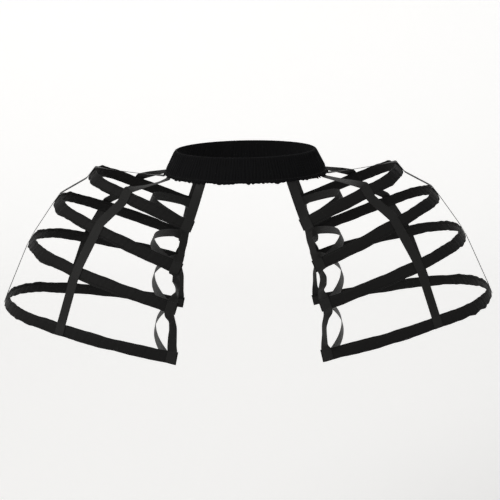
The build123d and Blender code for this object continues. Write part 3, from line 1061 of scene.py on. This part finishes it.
# Slack of the tapes between the hoops: degrees of twist about the inner edge, and millimetres of sway
# inwards, at even steps of each stretch, smoothed over a few points
NO_SWAY = ((), (), (), ())
SIDE_TWISTS = ((-9, -13, -11), (), (), ())
BACK_SIDE_TWISTS = ((8, 6), (), (), ())
FRONT_SIDE_TWISTS = {
    "right": ((-2, -4, -3), (), (), ()),
    "left": ((-12, -17, -13), (), (), ()),
}
FRONT_TWISTS = {
    "right": ((), (40, 43, 44, 42), (62, 32, 22, 48), (60, 66, 64, 50)),
    "left": ((), (34, 30, 34, 48), (38, 20, 56, 70), (58, 40, 25, 18)),
}
FRONT_SWAYS = {
    "right": ((), (0, 1.0, -0.5, 0), (-3.0, -4.0, -1.0, 0.5), (-1.5, 1.0, -0.5, 0)),
    "left": ((), (0, 0.6, -0.6, 0), (2.5, 4.5, 1.5, 0), (1.0, 3.5, 1.5, -0.5)),
}
MILLIMETRE = 0.001
SMOOTHING_COUNT = 9
SMOOTHING_REACH = 2


def spaced(points, acrosses, step):
    """A line's points and directions across at even steps, with the new and the old points' distances."""
    distances = distances_along(points)
    even = np.linspace(0, distances[-1], round(distances[-1] / step) + 1)
    return even, at_distances(even, distances, points), at_distances(even, distances, acrosses), distances


def path_through(stops, reaches):
    """A smooth line through stops of a place, the direction onward and the direction across.

    Each stretch is the cubic p0 h00(t) + m0 h10(t) + p1 h01(t) + m1 h11(t), whose end slopes are the
    stops' directions times the stretch's reach. The points are then spaced evenly.
    """
    share = np.linspace(0, 1, STRETCH_COUNT + 1)[:-1, None]
    points = []
    acrosses = []
    for (start, leave, across), (end, arrive, across_end), reach in zip(stops, stops[1:], reaches):
        points.append(
            start * (1 + 2 * share) * (1 - share) ** 2
            + leave * reach * share * (1 - share) ** 2
            + end * share**2 * (3 - 2 * share)
            + arrive * reach * share**2 * (share - 1)
        )
        blend = smooth(0, 1, share)
        acrosses.append(across * (1 - blend) + across_end * blend)
    points = np.concatenate(points + [stops[-1][0][None]])
    acrosses = np.concatenate(acrosses + [stops[-1][2][None]])
    even, line, across, distances = spaced(points, acrosses, TAPE_STEP)
    return even, line, across, distances[::STRETCH_COUNT]


def ribbon_rows(line, across, twist, settings, cup):
    """A ribbon's outlines along a line: its width across, turned by twist about its inner edge.

    The direction across is made square to the line and turned as across cos(twist) + face sin(twist).
    The face dips by cup * u^2 / 2, and the selvedges are rounded. The ribbon's middle line and its
    directions across and off its face are given too.
    """
    onward = unit(np.gradient(line, axis=0))
    across = unit(across - onward * np.sum(across * onward, -1, keepdims=True))
    face = np.cross(across, onward)
    cosine = np.cos(twist)[:, None]
    sine = np.sin(twist)[:, None]
    turned = across * cosine + face * sine
    face = face * cosine - across * sine
    half = settings.width / 2
    line = line + (across - turned) * half
    stations = both_ways(RIBBON_STATION_SHARES, -1)
    rises = both_ways(RIBBON_RISE_SHARES, 1) * settings.thick / 2
    spread = there_and_back(stations, stations) * half
    rise = there_and_back(rises, -rises) - cup[:, None] * spread**2 / 2
    rows = line[:, None] + turned[:, None] * spread[:, None] + face[:, None] * rise[..., None]
    return rows, cloth_places(rows, stations, half), (line, turned, face)


def row_stitches(mesh, route, pick, settings, sewing, face_side, to_place):
    """Adds a row of stitches across a ribbon, at a point of its route."""
    line, turned, face = (part[pick] for part in route)
    spots = np.array(ROW_SHARES)[:, None] * settings.width / 2
    lift = np.repeat(face[None] * face_side, len(ROW_SHARES), 0)
    along = np.repeat(turned[None], len(ROW_SHARES), 0)
    places = line + turned * spots + lift * settings.thick * ROW_RISE_SHARE
    vectors = (part * to_place for part in (places, along, lift))
    add_stitches(mesh, *vectors, sewing.tape_stitch, sewing.thread)


def ribbon_piece(context, name, even, route_rows, sewn, face_side, to_place):
    """A ribbon with rows of stitches at distances along it, in place of its solid."""
    settings = context.scene.cage_tapes
    colours = context.scene.cage_colours
    rows, places, route = route_rows
    mesh = Mesh()
    add_tube(mesh, rows * to_place, places, closed=False)
    for at in sewn:
        pick = int(np.argmin(np.abs(even - at)))
        row_stitches(mesh, route, pick, settings, context.scene.cage_sewing, face_side, to_place)
    piece = mesh.piece(f"{name}_ribbon", [tape_cloth(colours), thread_cloth(colours)])
    dress(piece, [name])
    return piece


def hanging_stops(waist, hoops, angles, settings, sleeve_width, turn):
    """The stops of a tape from the waistband's slot down over the outside of the four hoops."""
    place = np.array(-turn)
    along = waist.tangent(place)
    low = waist.point(place, np.array(-waist.height / 2), np.array(0.0))
    high = waist.point(place, np.array(waist.height / 2), np.array(0.0))
    slope = unit(high - low)
    stops = [
        (low + slope * settings.tuck, -slope, along),
        (low - slope * settings.drop, -slope, along),
    ]
    reaches = [settings.tuck + settings.drop]
    above = sleeve_width / 2 + settings.overhang
    for hoop, angle in zip(hoops, angles):
        below = sleeve_width / 2 - settings.hem_margin if hoop is hoops[-1] else above
        centre, ahead, outward, upward = hoop.frames(angle)
        face = centre + outward * settings.lift
        start = face + upward * above
        gap = np.linalg.norm(start - stops[-1][0])
        reaches.append(min(gap * EASE_SHARE, settings.ease))
        stops.append((start, -upward, ahead))
        reaches.append(above + below)
        stops.append((face - upward * below, -upward, ahead))
    return stops, reaches


def slack_along(even, marks, stretches):
    """Values along a tape: those given at even steps of each free stretch, none on the sleeves, smoothed."""
    places = [0.0, marks[1]]
    values = [0.0, 0.0]
    for steps, start, end, past in zip(stretches, marks[1::2], marks[2::2], marks[3::2]):
        places += [start + (end - start) * (step + 0.5) / len(steps) for step in range(len(steps))]
        values += steps
        places += [end, past]
        values += [0.0, 0.0]
    weights = bell(np.linspace(-SMOOTHING_REACH, SMOOTHING_REACH, SMOOTHING_COUNT), 1)
    padded = np.pad(np.interp(even, places, values), SMOOTHING_COUNT // 2, mode="edge")
    return np.convolve(padded, weights / weights.sum(), mode="valid")


class CAGE_OT_tapes(bpy.types.Operator):
    """Make the ribbon tapes that hang the hoops from the waistband"""

    bl_idname = "cage.tapes"
    bl_label = "Hanging tapes"

    def execute(self, context):
        settings = context.scene.cage_tapes
        sizes = context.scene.cage_hoops
        margin = context.scene.cage_sewing.row_margin
        waist = Waist(context.scene.cage_waist)
        hoops = [Hoop(sizes, number) for number in HOOP_NUMBERS]
        near_end = [hoop.angle_at(settings.end_margin + settings.width / 2) for hoop in hoops]
        front_side = [hoop.leg_angle(share) for hoop, share in zip(hoops, settings.front_side_shares)]
        back_side = [hoop.leg_angle(share) for hoop, share in zip(hoops, settings.back_side_shares)]
        at_crown = [0.0] * len(hoops)
        for side_name, side in SIDES.items():
            front_twists = FRONT_TWISTS[side_name]
            front_sways = FRONT_SWAYS[side_name]
            side_twists = FRONT_SIDE_TWISTS[side_name]
            tapes = {
                "front_tape": (settings.front_turn, near_end, 1, front_twists, front_sways),
                "front_side_tape": (settings.front_side_turn, front_side, 1, side_twists, NO_SWAY),
                "side_tape": (0.0, at_crown, 1, SIDE_TWISTS, NO_SWAY),
                "back_side_tape": (settings.back_side_turn, back_side, -1, BACK_SIDE_TWISTS, NO_SWAY),
                "back_tape": (settings.front_turn, near_end, -1, front_twists, front_sways),
            }
            for name, (turn, angles, front, twists, sways) in tapes.items():
                stops, reaches = hanging_stops(waist, hoops, angles, settings, sizes.width, turn)
                even, line, across, marks = path_through(stops, reaches)
                twist = np.radians(slack_along(even, marks, twists))
                line = line - across * slack_along(even, marks, sways)[:, None] * MILLIMETRE
                cup = smooth(marks[1] + CUP_LENGTH, marks[1], even) / CUP_RADIUS
                route_rows = ribbon_rows(line, -across, -twist, settings, cup)
                sewn = np.stack([marks[2::2] + margin, marks[3::2] - margin], -1).ravel()
                to_place = np.array([side, front, 1])
                piece = ribbon_piece(context, f"{side_name}_{name}", even, route_rows, sewn, 1, to_place)
        return {"FINISHED"}


def stay_line(hoop, settings):
    """A stay's line: a tab along the inside of each end of the sleeve, and between them a bow.

    The bow is the parabola bulge * (1 - t^2) in the hoop's plane, t from -1 at the front to 1 at the back.
    Its joins are smoothed by weighing each point twice against its two neighbours, several times over.
    """
    angles = [hoop.angle_at(settings.end_margin), hoop.angle_at(settings.end_margin + settings.stay_tab)]
    centre, __, outward, upward = hoop.frames(np.array(angles))
    tip, leave = centre - outward * settings.lift
    to_back = np.array([1, -1, 1])
    share = np.linspace(-1, 1, STAY_BOW_COUNT)[:, None]
    bulge = hoop.out * ((settings.stay_reach - leave[0]) / math.cos(hoop.tilt))
    bow = leave * np.array([1, 0, 1]) - np.array([0, leave[1], 0]) * share + bulge * (1 - share**2)
    bow_across = upward[1] * (1 - share) / 2 + upward[1] * to_back * (1 + share) / 2
    tab_share = np.linspace(0, 1, STAY_TAB_COUNT + 1)[:-1, None]
    tab = tip + (leave - tip) * tab_share
    tab_across = upward[0] + (upward[1] - upward[0]) * tab_share
    points = np.concatenate([tab, bow, tab[::-1] * to_back])
    across = np.concatenate([tab_across, bow_across, tab_across[::-1] * to_back])
    for __ in range(STAY_SMOOTHING_COUNT):
        points[1:-1] = (points[:-2] + 2 * points[1:-1] + points[2:]) / 4
    return spaced(points, across, STAY_STEP)


class CAGE_OT_stays(bpy.types.Operator):
    """Make the stay tapes that bow across the open side of each hoop"""

    bl_idname = "cage.stays"
    bl_label = "Stays"

    def execute(self, context):
        settings = context.scene.cage_tapes
        margin = context.scene.cage_sewing.row_margin
        from_ends = np.array([margin, settings.stay_tab - margin])
        for side_name, side in SIDES.items():
            for number in HOOP_NUMBERS:
                even, line, across, __ = stay_line(Hoop(context.scene.cage_hoops, number), settings)
                flat = np.zeros(len(even))
                route_rows = ribbon_rows(line, across, flat, settings, flat)
                sewn = np.stack([from_ends, even[-1] - from_ends], -1).ravel()
                to_place = np.array([side, 1, 1])
                name = f"{side_name}_stay_{number}"
                piece = ribbon_piece(context, name, even, route_rows, sewn, -1, to_place)
        return {"FINISHED"}


# Stage

# Points round the backdrop's bend and from side to side, and its finish
BEND_COUNT = 33
BACKDROP_COLUMN_COUNT = 9
BACKDROP_ROUGHNESS = 0.9
BACKDROP_SPECULAR = 0.1

# The backdrop's glow: distances behind the cage between which it rises, and its strength at each
GLOW_DISTANCES = (0.5, 4.5)
GLOW_STRENGTHS = (0.22, 0.55)

# Lamps: place, point they shine on, size and colour
LAMPS = {
    "key": ((-2.2, -1.9, 1.7), (0, 0, -0.1), 1.6, (1, 0.99, 0.97)),
    "fill": ((2.2, -2.0, 0.9), (0, 0, -0.15), 1.8, (0.98, 0.99, 1)),
    "back": ((0.4, 1.9, 2.2), (0, 0, -0.15), 1.6, (1, 1, 1)),
}


def seen_rays(tree):
    """1 on rays that show the surroundings: the camera's, and those of gloss and glass."""
    path = add_node(tree, "ShaderNodeLightPath").outputs
    gloss = maths(tree, "MAXIMUM", path["Is Glossy Ray"], path["Is Transmission Ray"])
    return maths(tree, "MAXIMUM", path["Is Camera Ray"], gloss)


def backdrop_material(colours):
    """Pale paper that rises to white behind and keeps a soft shadow on the floor."""
    material = bpy.data.materials.new("backdrop")
    material.use_nodes = True
    tree = material.node_tree
    shader = tree.nodes["Principled BSDF"]
    shader.inputs["Base Color"].default_value = (*colours.backdrop, 1)
    shader.inputs["Roughness"].default_value = BACKDROP_ROUGHNESS
    shader.inputs["Specular IOR Level"].default_value = BACKDROP_SPECULAR
    place = add_node(tree, "ShaderNodeTexCoord").outputs["Object"]
    depth = add_node(tree, "ShaderNodeSeparateXYZ", {0: place}).outputs[1]
    marks = dict(enumerate((depth, *GLOW_DISTANCES, *GLOW_STRENGTHS)))
    rise = add_node(tree, "ShaderNodeMapRange", marks).outputs[0]
    glow = add_node(tree, "ShaderNodeEmission", {"Color": (*colours.room, 1), "Strength": rise}).outputs[0]
    dark = add_node(tree, "ShaderNodeEmission", {"Strength": 0.0}).outputs[0]
    lift = add_node(tree, "ShaderNodeMixShader", {0: seen_rays(tree), 1: dark, 2: glow}).outputs[0]
    both = add_node(tree, "ShaderNodeAddShader", {0: shader.outputs[0], 1: lift}).outputs[0]
    tree.links.new(both, tree.nodes["Material Output"].inputs["Surface"])
    return material


def studio_world(stage, colours):
    """Soft white light from all round, seen as a pale room."""
    world = bpy.data.worlds.new("studio")
    world.use_nodes = True
    tree = world.node_tree
    light = tree.nodes["Background"]
    light.inputs["Color"].default_value = (1, 1, 1, 1)
    light.inputs["Strength"].default_value = stage.sky
    pale = {"Color": (*colours.room, 1), "Strength": stage.room}
    room = add_node(tree, "ShaderNodeBackground", pale).outputs[0]
    lights = {0: seen_rays(tree), 1: light.outputs[0], 2: room}
    both = add_node(tree, "ShaderNodeMixShader", lights).outputs[0]
    tree.links.new(both, tree.nodes["World Output"].inputs["Surface"])
    return world


def add_backdrop(stage, colours):
    """A floor that bends up into a wall behind, as a quarter circle between two flats."""
    turn = np.linspace(0, math.pi / 2, BEND_COUNT)
    wall = stage.behind + stage.bend
    depth = np.concatenate([[-stage.reach], stage.behind + stage.bend * np.sin(turn), [wall]])
    height = np.concatenate([[0], stage.bend * (1 - np.cos(turn)), [stage.reach]]) + stage.floor
    sideways = np.linspace(-stage.reach, stage.reach, BACKDROP_COLUMN_COUNT)
    points = np.stack(np.broadcast_arrays(sideways[:, None], depth, height), -1)
    quads = grid_quads(len(sideways), len(depth), False, round_ring=False)[:, ::-1]
    mesh = bpy.data.meshes.new("backdrop")
    mesh.from_pydata(points.reshape(-1, 3), [], quads)
    mesh.shade_smooth()
    mesh.materials.append(backdrop_material(colours))
    linked("backdrop", mesh)


def add_lamp(name, watts, place, aim, size, colour):
    """A large soft lamp."""
    lamp = bpy.data.lights.new(name, "AREA")
    lamp.shape = "DISK"
    lamp.size = size
    lamp.energy = watts
    lamp.color = colour
    holder = linked(name, lamp)
    holder.location = place
    holder.rotation_mode = "QUATERNION"
    holder.rotation_quaternion = (Vector(aim) - Vector(place)).to_track_quat("-Z", "Y")


def add_camera(stage):
    """The camera that the scene is seen through."""
    camera = bpy.data.cameras.new("camera")
    camera.lens = stage.lens
    camera.shift_x = stage.shift
    aim = (Vector(stage.aim) - Vector(stage.camera)).to_track_quat("-Z", "Y").to_matrix().to_4x4()
    holder = linked("camera", camera)
    holder.matrix_world = Matrix.Translation(stage.camera) @ aim @ Matrix.Rotation(stage.roll, 4, "Z")
    bpy.context.scene.camera = holder


class CAGE_OT_stage(bpy.types.Operator):
    """Make the pale backdrop, the soft lamps and the camera"""

    bl_idname = "cage.stage"
    bl_label = "Stage"

    def execute(self, context):
        stage = context.scene.cage_stage
        colours = context.scene.cage_colours
        add_backdrop(stage, colours)
        for name, lamp in LAMPS.items():
            add_lamp(f"{name}_lamp", getattr(stage, name), *lamp)
        context.scene.world = studio_world(stage, colours)
        add_camera(stage)
        context.scene.view_settings.view_transform = "Standard"
        return {"FINISHED"}


class CAGE_PT_cage(bpy.types.Panel):
    """Lists the steps that dress the cage"""

    bl_idname = "CAGE_PT_cage"
    bl_label = "Crinoline cage"
    bl_space_type = "VIEW_3D"
    bl_region_type = "UI"
    bl_category = "Cage"

    def draw(self, context):
        for operator in OPERATORS:
            self.layout.operator(operator.bl_idname)
        for group in GROUPS:
            settings = getattr(context.scene, group)
            self.layout.label(text=settings.__doc__)
            for name in settings.bl_rna.properties.keys():
                if name not in ("rna_type", "name"):
                    self.layout.prop(settings, name)


OPERATORS = (CAGE_OT_waistband, CAGE_OT_sleeves, CAGE_OT_tapes, CAGE_OT_stays, CAGE_OT_stage)
GROUPS = {
    "cage_waist": CageWaist,
    "cage_hoops": CageHoops,
    "cage_tapes": CageTapes,
    "cage_sewing": CageSewing,
    "cage_colours": CageColours,
    "cage_stage": CageStage,
}


def register():
    """Registers the settings, the steps and the panel."""
    for name, group in GROUPS.items():
        bpy.utils.register_class(group)
        setattr(bpy.types.Scene, name, PointerProperty(type=group))
    for cls in (*OPERATORS, CAGE_PT_cage):
        bpy.utils.register_class(cls)


def unregister():
    """Removes what register added."""
    for cls in (CAGE_PT_cage, *reversed(OPERATORS)):
        bpy.utils.unregister_class(cls)
    for name, group in GROUPS.items():
        delattr(bpy.types.Scene, name)
        bpy.utils.unregister_class(group)


def main():
    """Dresses the cage."""
    register()
    bpy.ops.cage.waistband()
    bpy.ops.cage.sleeves()
    bpy.ops.cage.tapes()
    bpy.ops.cage.stays()
    bpy.ops.cage.stage()


if __name__ == "__main__":
    main()
